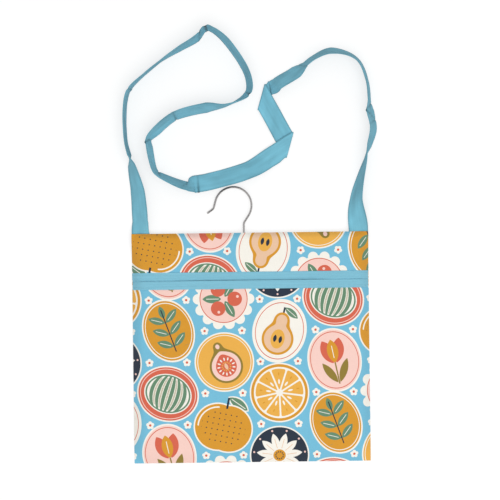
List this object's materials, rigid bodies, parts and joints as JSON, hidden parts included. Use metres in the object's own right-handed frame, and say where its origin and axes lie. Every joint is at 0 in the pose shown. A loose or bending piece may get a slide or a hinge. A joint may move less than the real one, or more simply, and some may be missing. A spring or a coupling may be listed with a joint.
{
  "type": "peg bag",
  "caption": "Flat cotton peg bag with a bound mouth across its front, a shoulder strap sewn to its top corners and a loose wooden hanger bar with a swivelling wire hook.",
  "frame": {"origin": "middle of the back panel's outer face, on the surface that the bag lies on", "axes": "+X across the bag, +Y up to the hook, +Z out of the front of the bag"},
  "size_m": [0.367, 0.631, 0.0282],
  "materials": {
    "printed_cotton": "matte",
    "plain_cotton": "matte",
    "beech": "satin",
    "steel_wire": "satin"
  },
  "bodies": {
    "bag": {"back_panel": "printed_cotton", "front_yoke": "printed_cotton", "pouch_front": "printed_cotton", "upper_lip_binding": "plain_cotton", "lower_lip_binding": "plain_cotton", "shoulder_strap": "plain_cotton"},
    "hanger": {"hanger_bar": "beech", "hook_washer": "steel_wire"},
    "hook": {"hook": "steel_wire"}
  },
  "joints": [
    {"name": "hanger_slide", "type": "slide", "parent": "bag", "child": "hanger", "axis": [0, 1, 0], "range_m": [-0.014, 0]},
    {"name": "hook_swivel", "type": "hinge", "parent": "hanger", "child": "hook", "pos_m": [-0.0085, 0.157, 0.0061], "axis": [0, 1, 0], "continuous": true}
  ]
}
